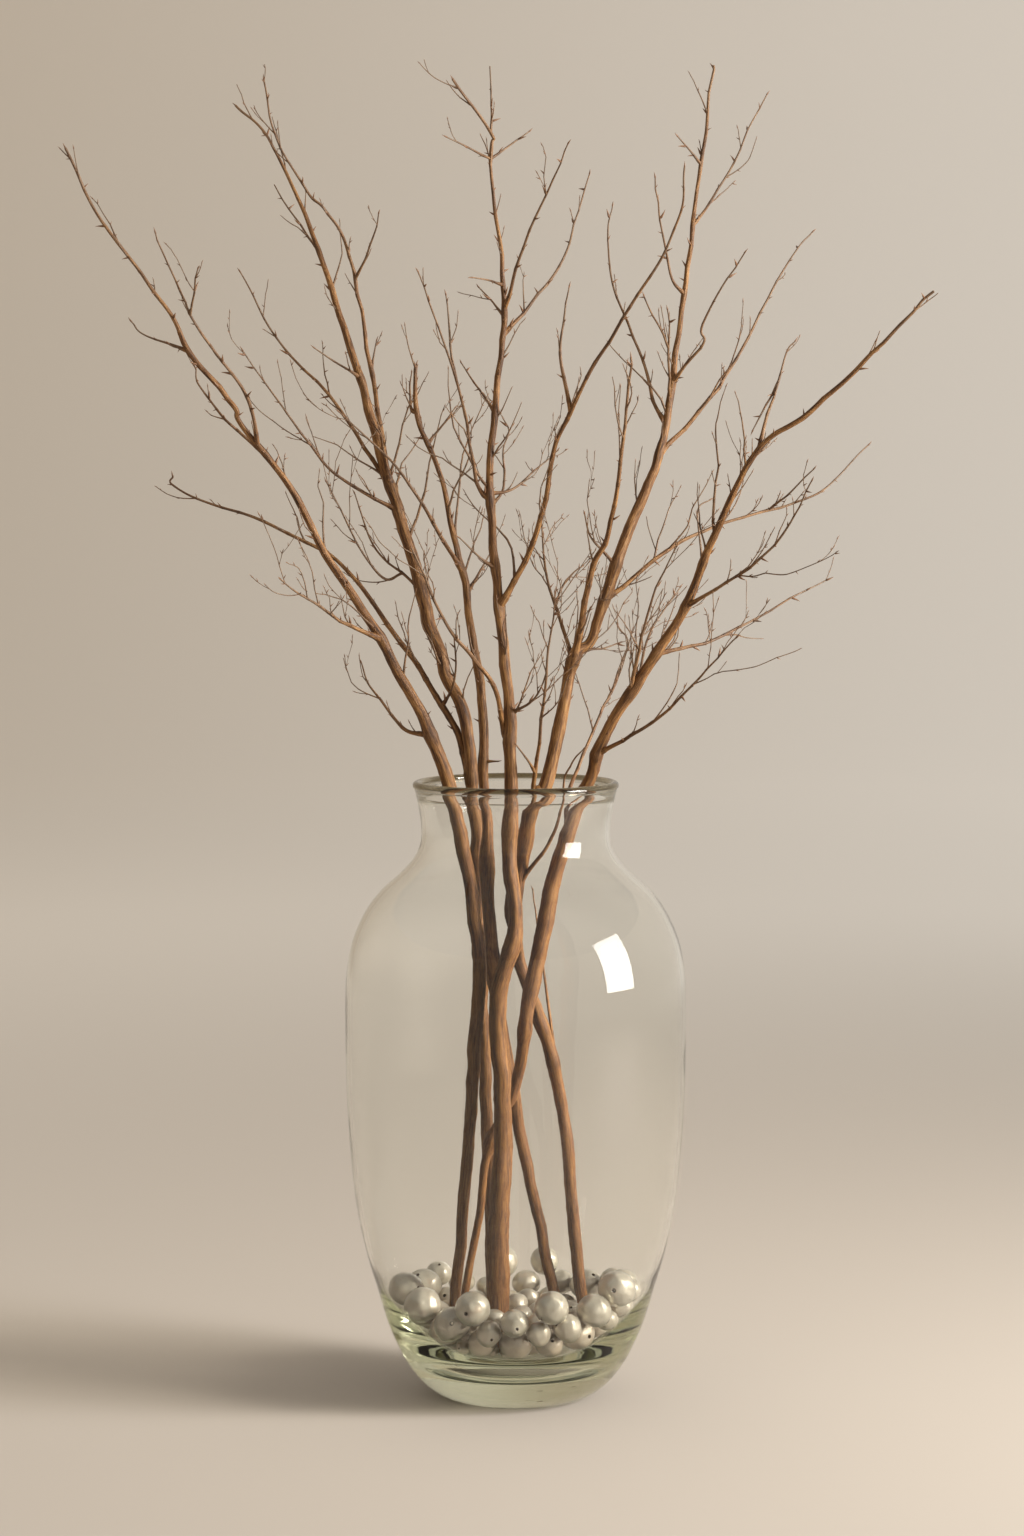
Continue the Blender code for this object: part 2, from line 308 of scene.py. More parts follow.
@dataclass(frozen=True)
class Nacre:
    """Silvery cream pearl: a clear coat over nacre whose tone differs from pearl to pearl, with painted
    warm light on the lowest pearls of the bed and painted shade inside the drilled hole.
    """

    name: str = "nacre"
    cream: tuple = (0.800, 0.730, 0.590)
    silver: tuple = (0.560, 0.510, 0.400)
    # This pinkish colour is the nacre's own tint in random patches, and also painted warm light on the
    # lowest pearls of the bed.
    blush_and_warm_light: tuple = (0.720, 0.480, 0.310)
    # Painted shade: the dark colour inside the drilled hole.
    bore: tuple = (0.160, 0.100, 0.060)

    def material(self) -> bpy.types.Material:
        """Return the pearl material."""
        s = Surface(self.name)
        tone = s.attribute("tone")
        clouds = s.noise(s.place(), 85.0, detail=3.0, rough=0.6)
        lumps = s.noise(s.place(), 130.0, detail=0.0)
        bands = s.span(clouds, 0.38, 0.62)
        body = s.mix(bands * 0.7 + 0.3, s.mix(tone, self.cream, self.silver), self.cream)
        _, _, height = s.split(s.place())
        # Painted light: the lowest pearls of the bed turn pinkish brown, standing in for warm light
        # from below; the cloud patches of the same colour are the nacre's own tint.
        low = s.span(height + clouds * 0.03, 0.055, 0.095, 0.55, 0.0)
        warm = s.mix(s.math("MAXIMUM", low, s.span(clouds, 0.52, 0.75, 0.0, 0.4)), body, self.blush_and_warm_light)
        # Painted shade: the inside of the drilled hole is dark brown.
        s.set(Base_Color=s.mix(s.attribute("bored"), warm, self.bore),
              Metallic=s.span(clouds, 0.35, 0.65, 0.35, 0.20), Roughness=0.28,
              Coat_Weight=1.0, Coat_Roughness=0.05, Coat_IOR=2.0,
              Normal=s.bump(lumps, 3.0 * MM, 0.7))
        return s.material


@dataclass(frozen=True)
class Glass:
    """Clear blown glass, sage green where it is thick, that lets the light through to the stems; its
    dark lip is partly the thick bead's absorption and partly painted shade.
    """

    name: str = "vase_glass"
    tint: tuple = (0.995, 0.997, 0.985)
    refraction: float = 1.42
    absorbed: tuple = (0.81, 0.83, 0.68)
    density: float = 10.0
    lip_height: float = 0.4950
    # The dark lip colour is partly the thick bead's absorption and partly painted shade for the dark
    # line along the rim.
    lip_tint_and_shade: tuple = (0.220, 0.180, 0.105)
    shade: tuple = (0.955, 0.945, 0.925)

    def material(self) -> bpy.types.Material:
        """Return the glass material."""
        s = Surface(self.name)
        ripple = s.noise(s.place(), 16.0, detail=1.0)
        _, _, height = s.split(s.place())
        # Painted shade: above the lip height the glass takes the dark lip colour.
        lip = s.span(height, self.lip_height, self.lip_height + 1.5 * MM)
        s.set(Base_Color=s.mix(lip, self.tint, self.lip_tint_and_shade), Roughness=0.0, IOR=self.refraction,
              Transmission_Weight=1.0, Normal=s.bump(ripple, 0.4 * MM, 0.5))
        shadow = s.add("ShaderNodeLightPath")["Is Shadow Ray"] * s.span(height, 0.06, 0.32, 0.80, 1.0)
        clear = s.add("ShaderNodeBsdfTransparent", None, {"Color": (*self.shade, 1.0)})
        sockets = {0: shadow, 1: Value(s, s.shader.outputs["BSDF"]), 2: clear["BSDF"]}
        mixed = s.add("ShaderNodeMixShader", None, sockets)
        s.tree.links.new(mixed["Shader"].socket, s.output.inputs["Surface"])
        volume = s.add("ShaderNodeVolumeAbsorption", None,
                       {"Color": (*self.absorbed, 1.0), "Density": self.density})
        s.tree.links.new(volume["Volume"].socket, s.output.inputs["Volume"])
        return s.material


@dataclass(frozen=True)
class StudioPaper:
    """The plain pale paper of floor and backdrop, which glows softly away from the middle."""

    name: str = "studio_paper"
    colour: tuple = (0.560, 0.500, 0.435)
    glow_left: tuple = (0.190, 0.166, 0.133)
    glow_right: tuple = (0.370, 0.360, 0.335)

    def material(self) -> bpy.types.Material:
        """Return the backdrop material."""
        s = Surface(self.name)
        x, y, z = s.split(s.place())
        away = (x * x + y * y + z * z) ** 0.5
        side = s.mix(s.span(x, -2.6, 2.6), self.glow_left, self.glow_right)
        glow = s.mix(s.span(away, 0.2, 3.6), (0.0, 0.0, 0.0), side)
        s.set(Base_Color=(*self.colour, 1.0), Roughness=0.8, Emission_Color=glow,
              Emission_Strength=1.0)
        return s.material


# ----- Curves and meshes -----

def smooth_rows(rows: Sequence[Sequence[float]], spacing: float) -> np.ndarray:
    """Sample the Catmull-Rom curve through some rows.

    Args:
        rows: points, whose first three or two columns are a place and whose others follow it.
        spacing: wanted distance between samples, in the rows' own units.

    Returns:
        The samples, one row each, from the first row to the last.
    """
    points = np.array(rows, dtype=float)
    ghosts = np.vstack([2 * points[0] - points[1], points, 2 * points[-1] - points[-2]])
    place = min(3, points.shape[1])
    curve = []
    for i in range(len(points) - 1):
        p0, p1, p2, p3 = ghosts[i:i + 4]
        steps = max(1, round(float(np.linalg.norm((p2 - p1)[:place])) / spacing))
        for t in np.arange(steps) / steps:
            curve.append(0.5 * (2 * p1 + (p2 - p0) * t + (2 * p0 - 5 * p1 + 4 * p2 - p3) * t ** 2
                                + (3 * p1 - p0 - 3 * p2 + p3) * t ** 3))
    curve.append(points[-1])
    return np.array(curve)


def lengths_along(points: np.ndarray) -> np.ndarray:
    """Return each point's distance from the first, along the line through them."""
    steps = np.linalg.norm(np.diff(points, axis=0), axis=1)
    return np.concatenate([[0.0], np.cumsum(steps)])


def link(name: str, data: bpy.types.ID) -> bpy.types.Object:
    """Link a new object with that mesh, light or camera to the scene and return it."""
    obj = bpy.data.objects.new(name, data)
    bpy.context.scene.collection.objects.link(obj)
    return obj


def lathe_mesh(name: str, profile: np.ndarray, segments: int) -> bpy.types.Mesh:
    """Turn a (radius, height) line round the Z axis.

    Args:
        name: the mesh's name.
        profile: rows from one pole or edge to the other; a radius of 0 makes a pole. The line runs
            up the outside, so that the faces point out.
        segments: how many steps go round.

    Returns:
        The smooth-shaded mesh.
    """
    angles = 2 * math.pi * np.arange(segments) / segments
    verts: list[tuple] = []
    rings: list[list[int]] = []
    for radius, height in profile:
        first = len(verts)
        if radius < 1e-9:
            verts.append((0.0, 0.0, height))
            rings.append([first] * segments)
        else:
            verts.extend((radius * math.cos(a), radius * math.sin(a), height) for a in angles)
            rings.append(list(range(first, first + segments)))
    faces = []
    for low, high in zip(rings[:-1], rings[1:]):
        for k in range(segments):
            n = (k + 1) % segments
            faces.append(list(dict.fromkeys([low[k], low[n], high[n], high[k]])))
    mesh = bpy.data.meshes.new(name)
    mesh.from_pydata(verts, [], faces)
    mesh.shade_smooth()
    return mesh


def store(mesh: bpy.types.Mesh, name: str, values: np.ndarray) -> None:
    """Store one number or vector for each vertex of a mesh as an attribute."""
    values = np.asarray(values, dtype=np.float32)
    if values.ndim == 1:
        mesh.attributes.new(name, "FLOAT", "POINT").data.foreach_set("value", values)
    else:
        mesh.attributes.new(name, "FLOAT_VECTOR", "POINT").data.foreach_set("vector", values.ravel())


class GeometryTree(Net):
    """A new Geometry Nodes tree with named inputs."""

    def __init__(self, name: str) -> None:
        """Make the tree with its geometry going in and out."""
        super().__init__(bpy.data.node_groups.new(name, "GeometryNodeTree"))
        face = self.tree.interface
        face.new_socket("Geometry", in_out="INPUT", socket_type="NodeSocketGeometry")
        face.new_socket("Geometry", in_out="OUTPUT", socket_type="NodeSocketGeometry")
        self._entry = None

    def takes(self, name: str, kind: str) -> None:
        """Declare a named input of a socket type such as "NodeSocketFloat"."""
        self.tree.interface.new_socket(name, in_out="INPUT", socket_type=kind)

    def given(self, name: str) -> Value:
        """Return a named input's value."""
        if self._entry is None:
            self._entry = self.add("NodeGroupInput")
        return self._entry[name]

    def named(self, name: str, data_type: str = "FLOAT") -> Value:
        """Return a named attribute of the geometry."""
        return self.add("GeometryNodeInputNamedAttribute", {"data_type": data_type},
                        {"Name": name})["Attribute"]

    def finish(self, geometry: Value) -> None:
        """Realize the instances, give everything the Material input and end the tree."""
        whole = self.add("GeometryNodeRealizeInstances", None, {"Geometry": geometry})["Geometry"]
        painted = self.add("GeometryNodeSetMaterial", None,
                           {"Geometry": whole, "Material": self.given("Material")})["Geometry"]
        self.add("NodeGroupOutput", None, {"Geometry": painted})

    def run(self, obj: bpy.types.Object, **inputs: object) -> bpy.types.Object:
        """Apply the tree to an object as a plain mesh.

        Args:
            obj: the object whose mesh goes in.
            inputs: the tree's named inputs; an underscore in a name stands for a space.

        Returns:
            The same object, with the tree's result as its own mesh and no modifier.
        """
        modifier = obj.modifiers.new(self.tree.name, "NODES")
        modifier.node_group = self.tree
        for item in self.tree.interface.items_tree:
            if item.in_out == "INPUT" and item.name.replace(" ", "_") in inputs:
                modifier[item.identifier] = inputs[item.name.replace(" ", "_")]
        graph = bpy.context.evaluated_depsgraph_get()
        graph.update()
        source = obj.data
        made = bpy.data.meshes.new_from_object(obj.evaluated_get(graph), depsgraph=graph,
                                               preserve_all_data_layers=True)
        obj.modifiers.clear()
        obj.data = made
        made.name = obj.name
        bpy.data.meshes.remove(source)
        return obj


def tube_tree() -> GeometryTree:
    """Return the tree that sweeps wood along the lines of a mesh, as thick as "girth" says.

    Its lumps follow the wood's own girth, so that a thin twig stays as round as a thick stem.
    """
    g = GeometryTree("wood_along_lines")
    g.takes("Sides", "NodeSocketInt")
    g.takes("Lumps", "NodeSocketFloat")
    g.takes("Ridges", "NodeSocketFloat")
    g.takes("Material", "NodeSocketMaterial")
    lines = g.add("GeometryNodeMeshToCurve", None, {"Mesh": g.given("Geometry")})["Curve"]
    girth = g.named("girth")
    circle = g.add("GeometryNodeCurvePrimitiveCircle", None,
                   {"Resolution": g.given("Sides"), "Radius": 1.0})["Curve"]
    position = g.add("GeometryNodeInputPosition")["Position"]
    rimmed = g.add("GeometryNodeStoreNamedAttribute",
                   {"data_type": "FLOAT_VECTOR", "domain": "POINT"},
                   {"Geometry": circle, "Name": "rim", "Value": position})["Geometry"]
    swept = g.add("GeometryNodeCurveToMesh", None,
                  {"Curve": lines, "Profile Curve": rimmed, "Scale": girth,
                   "Fill Caps": True})["Mesh"]
    rim_x, rim_y, _ = g.split(g.named("rim", "FLOAT_VECTOR"))
    along = g.named("along")
    lump = g.noise(g.xyz(rim_x * 0.6, rim_y * 0.6, along * 70.0), 1.0, detail=2.0) - 0.5
    ridge = g.noise(g.xyz(rim_x * 2.6, rim_y * 2.6, along * 26.0), 1.0, detail=1.0) - 0.5
    push = girth * (lump * g.given("Lumps") + ridge * g.given("Ridges"))
    normal = g.add("GeometryNodeInputNormal")["Normal"]
    shaped = g.add("GeometryNodeSetPosition", None,
                   {"Geometry": swept, "Offset": g.scaled(normal, push)})["Geometry"]
    smooth = g.add("GeometryNodeSetShadeSmooth", None, {"Geometry": shaped})["Geometry"]
    g.finish(smooth)
    return g


def scatter_tree() -> GeometryTree:
    """Return the tree that sets one shape on every point, turned to "aim" and as large as "size"."""
    g = GeometryTree("shape_on_points")
    g.takes("Shape", "NodeSocketObject")
    g.takes("Material", "NodeSocketMaterial")
    shape = g.add("GeometryNodeObjectInfo", None, {"Object": g.given("Shape")})["Geometry"]
    turn = g.add("FunctionNodeAlignRotationToVector", {"axis": "Z"},
                 {"Vector": g.named("aim", "FLOAT_VECTOR")})["Rotation"]
    spin = g.add("FunctionNodeAxisAngleToRotation", None,
                 {"Axis": (0.0, 0.0, 1.0), "Angle": g.named("roll")})["Rotation"]
    facing = g.add("FunctionNodeRotateRotation", {"rotation_space": "LOCAL"},
                   {"Rotation": turn, "Rotate By": spin})["Rotation"]
    placed = g.add("GeometryNodeInstanceOnPoints", None,
                   {"Points": g.given("Geometry"), "Instance": shape, "Rotation": facing,
                    "Scale": g.named("size")})["Instances"]
    g.finish(placed)
    return g


class Sites:
    """Places for a repeated shape: where each stands and points, its size, roll and tone."""

    def __init__(self) -> None:
        """Start with no places."""
        self._rows: list[tuple] = []

    def add(self, place: Sequence[float], aim: Sequence[float], size: float, roll: float = 0.0,
            tone: float = 0.5) -> None:
        """Add one place."""
        self._rows.append((*place, *aim, size, roll, tone))

    def points(self, name: str) -> bpy.types.Object:
        """Return an object whose loose vertices are the places, with their attributes."""
        rows = np.array(self._rows)
        mesh = bpy.data.meshes.new(name)
        mesh.from_pydata(rows[:, :3].tolist(), [], [])
        store(mesh, "aim", rows[:, 3:6])
        for column, label in enumerate(("size", "roll", "tone"), start=6):
            store(mesh, label, rows[:, column])
        return link(name, mesh)


# ----- Vase -----

@dataclass
class Vase:
    """The blown glass vase: thick bowl-shaped foot, round shoulder, waisted neck and rolled lip.

    Outline and floor points are (radius, height) in millimetres.
    """

    outline: tuple = ((55, 0), (67, 5), (79, 15), (90, 30), (98.5, 47), (105, 63), (113, 90),
                      (121, 117), (129, 155), (133.5, 195), (136.5, 240), (137.5, 285),
                      (137.6, 326), (136, 350), (131, 373), (121, 395), (108, 412), (94, 424.5),
                      (83, 436.5), (77.5, 447), (76, 457), (76.8, 470), (79, 483))
    floor: tuple = ((0, 28), (30, 29), (52, 32), (70, 38), (84, 48), (95, 62), (104, 79), (111, 98))
    wall: float = 3.8
    wall_from: float = 113.0
    lip_radius: float = 79.4
    lip_height: float = 496.4
    lip_bead: float = 3.6
    foot_hollow: float = 1.2
    segments: int = 192
    spacing: float = 5.0

    def inner(self) -> np.ndarray:
        """Return the cavity's (radius, height) line from the floor's middle to the lip."""
        points = [np.array(p, dtype=float) for p in self.outline]
        wall = []
        for before, here, after in zip(points[:-2], points[1:-1], points[2:]):
            if here[1] >= self.wall_from:
                run = (after - before) / np.linalg.norm(after - before)
                wall.append((here[0] - self.wall * run[1], here[1] + self.wall * run[0]))
        wall.append((points[-1][0] - self.wall, points[-1][1]))
        return smooth_rows(list(self.floor) + wall, self.spacing)

    def profile(self) -> np.ndarray:
        """Return the whole line in metres: under the foot, up the outside, over the lip, down."""
        foot = [(0.0, self.foot_hollow), (30.0, self.foot_hollow), (45.0, 0.5), (52.0, 0.0)]
        outside = smooth_rows(self.outline, self.spacing)
        angles = np.radians(np.linspace(-50, 230, 19))
        bead = np.column_stack([self.lip_radius + self.lip_bead * np.cos(angles),
                                self.lip_height + self.lip_bead * np.sin(angles)])
        return np.vstack([foot, outside, bead, self.inner()[::-1]]) * MM

    def build(self) -> None:
        """Make the vase in place of its CAD node."""
        mesh = lathe_mesh("glass_vase", self.profile(), self.segments)
        mesh.materials.append(Glass().material())
        vase = link("glass_vase", mesh)
        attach(vase, "root")
        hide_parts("vase")
        LOG.info("glass vase: %d faces", len(mesh.polygons))


# ----- Willow -----

class Growth(Enum):
    """What a limb is, from the oldest wood to the youngest."""

    STEM = 0
    SHOOT = 1
    TWIG = 2


@dataclass(frozen=True)
class Shoot:
    """A side shoot's route in millimetres, from the wood it leaves to its tip, and its radius."""

    route: tuple
    radius: float


@dataclass(frozen=True)
class StemPlan:
    """One cut stem: its route, whose fourth value is the radius there, and its side shoots.

    A swelling is (height, share of the radius, half its length), with both lengths in millimetres.
    """

    node: str
    route: tuple
    shoots: tuple
    swellings: tuple = ()


@dataclass
class Limb:
    """A grown piece of wood: its points, radii and knots, in metres."""

    growth: Growth
    points: np.ndarray
    radii: np.ndarray
    knots: np.ndarray
    nodes: list = field(default_factory=list)


def rows_of(text: str) -> tuple:
    """Return the rows of numbers in a text, where commas part the rows."""
    return tuple(tuple(float(number) for number in row.split()) for row in text.split(","))


def shoots_of(text: str) -> tuple:
    """Return the shoots in a text: on each line a shoot's radius, a colon and its route."""
    lines = (line.split(":") for line in text.strip().splitlines())
    return tuple(Shoot(rows_of(route), float(radius)) for radius, route in lines)


STEM_PLANS = (
    StemPlan("stem_far_left", rows_of("""
        -54 -22 38 4.5, -45 -20 120 4.5, -30 -25 340 5.5, -35 -25 405 5.5, -55 -30 505 5.5,
        -95 -40 595 4, -150 -50 685 3, -180 -60 740 2.5, -215 -65 785 2, -220 -70 800 2, -255 -75 840 2,
        -270 -80 875 1.5, -320 -90 940 1.2, -345 -100 995 1"""), shoots_of("""
        1.2: -255 -75 840, -290 -65 855, -300 -60 865
        2: -110 -40 615, -135 -70 630, -180 -140 665
        1.8: -65 -35 540, -90 -25 545, -115 -5 575, -125 10 595
        1.6: -195 -65 760, -225 -50 785, -250 -30 815, -255 -20 830
        1.6: -200 -65 770, -210 -85 810, -245 -125 860, -270 -175 925
        1: -250 -130 865, -240 -165 900
        """)),
    StemPlan("stem_left", rows_of("""
        -17 24 34 5, -20 28 100 5, -35 50 495 5, -58 62 585 5, -85 85 675 5, -150 130 890 2.5,
        -200 165 1015 1.2, -235 180 1055 1"""), shoots_of("""
        2.4: -105 95 735, -110 95 780, -135 85 920, -155 80 960, -170 80 975, -195 75 1020, -205 70 1065
        3: -35 50 495, -60 60 555, -150 90 675, -275 125 730, -285 130 745
        2: -105 95 735, -150 115 805, -200 135 860, -230 150 915
        1.6: -100 90 715, -140 80 740, -165 65 765, -220 30 845
        1.2: -130 85 905, -120 65 925, -110 30 955
        1.2: -165 140 930, -205 200 990
        1.2: -80 80 650, -115 100 685, -135 130 730
        1.2: -130 115 825, -165 80 850
        1: -120 90 830, -115 100 855
        1.2: -95 85 665, -115 85 665, -155 60 740
        1.2: -55 60 560, -50 50 580, -50 30 615
        """), rows_of("428 0.45 16, 359 0.5 20, 470 0.2 9")),
    StemPlan("stem_back_left", rows_of("""
        41 10 35 4.5, 25 10 110 4.5, -15 10 320 5.5, -25 15 500 4, -30 30 590 3.5, -60 50 740 2,
        -80 55 790 2, -80 60 835 1.5"""), shoots_of("""
        2: -45 40 665, -90 10 745, -140 -20 795
        1.6: -40 35 650, -20 80 685
        1.2: -80 55 795, -85 60 800, -85 90 830
        1.2: -70 50 770, -50 80 800
        1.2: -25 15 515, -15 10 515
        """), rows_of("428 0.4 18, 350 0.35 16")),
    StemPlan("stem_centre", rows_of("""
        -15 -40 36 9, -15 -40 110 9, -10 -35 245 7, -15 -35 325 7, 0 -35 380 5.5, -5 -30 445 6,
        -5 -25 555 4.5, -20 -20 735 3, -10 -15 870 2, -20 0 995 1.2, -20 0 1015 1.2,
        -50 -25 1055 1"""), shoots_of("""
        1.6: -10 -10 875, 5 -35 920, 40 -85 1000
        1.6: -15 -15 855, 20 10 890, 40 30 925, 60 70 990
        2.6: -10 -20 640, 15 -40 695, 40 -75 790, 115 -145 920, 125 -170 975
        1.8: 45 -80 790, 35 -85 840, 40 -90 890
        1.6: -20 -20 725, -30 -25 740, -45 -65 815, -75 -120 900
        2.4: -5 -25 535, -10 -25 545, -20 -45 585, -55 -70 630, -80 -110 690
        1.2: -45 -65 820, -55 -60 885
        1.2: -20 -15 795, -45 30 835
        1: -20 0 1015, -20 20 1070
        1: -20 0 995, -55 -25 1010
        1: -20 0 995, 10 30 1020
        1: -10 -10 870, -30 10 895
        1: -10 -10 895, -35 -35 900
        1.2: -15 -20 670, -45 -50 695
        1.2: -5 -25 555, 15 -40 570, 25 -60 590
        1.2: -20 -20 720, -10 -10 735, -10 10 765, -5 20 780, -10 30 790
        1.2: -20 -20 730, 0 -5 735, 35 45 765
        """), rows_of("465 0.18 10, 372 0.25 14, 110 0.08 12")),
    StemPlan("stem_right_centre", rows_of("""
        61 5 41 5, 50 5 110 5, 35 10 250 5, 0 5 370 5, 5 -5 435 5.5, 15 -20 490 5.5, 25 -20 500 5.5,
        45 -15 595 4.5, 60 -10 615 4, 80 -5 675 4.5, 115 10 760 3.5, 125 20 815 2.5,
        160 60 1075 1"""), shoots_of("""
        3.2: 45 -15 595, 60 -35 670, 75 -50 710, 90 -100 835
        2: 115 10 760, 170 45 825, 225 95 920, 245 110 945
        1.6: 120 15 785, 110 20 805, 100 35 845, 80 60 895, 75 80 945, 80 90 965
        1.4: 125 20 820, 150 5 850, 150 0 865, 180 -30 920
        1.2: 140 40 945, 170 55 985, 205 90 1055
        2: 70 -5 645, 140 20 695, 245 65 730, 290 90 770
        1.8: 50 -15 595, 25 25 665, 20 60 710
        2: 15 -15 475, 20 -50 550, 30 -110 655
        1.2: 125 15 805, 120 -10 845, 120 -40 875
        1: 120 -10 845, 100 -60 885
        1.2: 135 30 890, 125 25 905, 115 5 950, 110 -10 980
        1: 205 50 715, 240 20 750
        2: 5 0 410, 30 -25 460, 40 -45 510, 55 -60 530
        1: 150 45 995, 130 30 1015
        1: 35 10 640, 40 40 660, 55 70 670
        1: 50 -15 600, 85 30 610
        1.2: 15 -30 510, 0 -70 535
        1.6: 30 10 270, 30 10 290, 15 40 405
        1.2: 75 -5 675, 60 -15 695, 55 -30 715
        """), rows_of("455 0.25 12, 398 0.3 14, 300 0.25 9")),
    StemPlan("stem_right", rows_of("""
        -51 -5 36 3.2, -35 -5 115 3.2, -20 -10 205 3.5, 0 -10 255 4.5, 10 -15 315 5.5, 25 -5 395 6.5,
        50 5 480 5.5, 60 5 500 5, 75 -5 545 4.5, 135 -25 640 3.5, 155 -40 695 3, 190 -65 765 2,
        235 -80 800 2, 320 -115 885 1"""), shoots_of("""
        2: 45 0 455, 45 20 495, 90 85 595, 85 100 620
        1.6: 190 -65 765, 210 -45 835, 220 -40 850
        1.8: 65 0 520, 115 -40 555, 170 -120 620
        1.6: 115 -15 600, 165 10 615, 255 70 660
        1.6: 135 -25 640, 180 -65 670, 210 -105 705, 225 -150 740
        1.6: 90 -10 570, 105 -50 640, 125 -90 690
        1.2: 95 -10 580, 110 20 620, 135 50 655
        1: 205 -50 820, 185 -60 780
        1: 180 -65 755, 200 -20 770
        1: 145 -35 675, 145 -20 715, 155 -10 725
        """), rows_of("209 0.8 9, 335 0.18 12, 300 0.2 8")),
)


@dataclass
class Habit:
    """How a willow grows: the distances, angles and chances of its nodes, twigs and buds."""

    spacing: float = 1.8 * MM
    twig_spacing: float = 2.8 * MM
    node_gap: tuple = (10 * MM, 24 * MM)
    kink: float = 0.8 * MM
    wander: float = 1.6 * MM
    twig_chance: dict = field(default_factory=lambda: {Growth.STEM: 0.50, Growth.SHOOT: 0.36,
                                                       Growth.TWIG: 0.13})
    twig_length: dict = field(default_factory=lambda: {Growth.STEM: (16 * MM, 150 * MM),
                                                       Growth.SHOOT: (12 * MM, 100 * MM),
                                                       Growth.TWIG: (6 * MM, 36 * MM)})
    twig_angle: tuple = (15.0, 38.0)
    twig_turn: float = 0.15
    twig_tip: float = 0.32 * MM
    clear: float = 0.8 * MM
    twig_tries: int = 4
    shorter: float = 0.72
    bud_chance: float = 0.8
    bud_lean: tuple = (28.0, 66.0)
    bare_below: float = 0.530
    dense_below: float = 0.80
    dense_within: float = 0.19
    dense_factor: float = 2.4
    sparse_length: float = 0.5
    layers: int = 4


class Wood:
    """The places and radii of all the wood grown so far, which new twigs keep clear of."""

    nearby: float = 12 * MM

    def __init__(self) -> None:
        """Start with no wood."""
        self._rows = np.empty((4096, 4))
        self._count = 0

    def add(self, points: np.ndarray, radii: np.ndarray) -> None:
        """Add a limb's points and radii."""
        while self._count + len(points) > len(self._rows):
            self._rows = np.vstack([self._rows, np.empty_like(self._rows)])
        self._rows[self._count:self._count + len(points)] = np.column_stack([points, radii])
        self._count += len(points)

    def air(self, points: np.ndarray) -> float:
        """Return the least distance from some points to the surface of the wood near them."""
        rows = self._rows[:self._count]
        low = points.min(axis=0) - self.nearby
        high = points.max(axis=0) + self.nearby
        near = rows[((rows[:, :3] > low) & (rows[:, :3] < high)).all(axis=1)]
        if len(near) == 0:
            return math.inf
        gaps = np.linalg.norm(points[:, None, :] - near[None, :, :3], axis=2) - near[:, 3]
        return float(gaps.min())


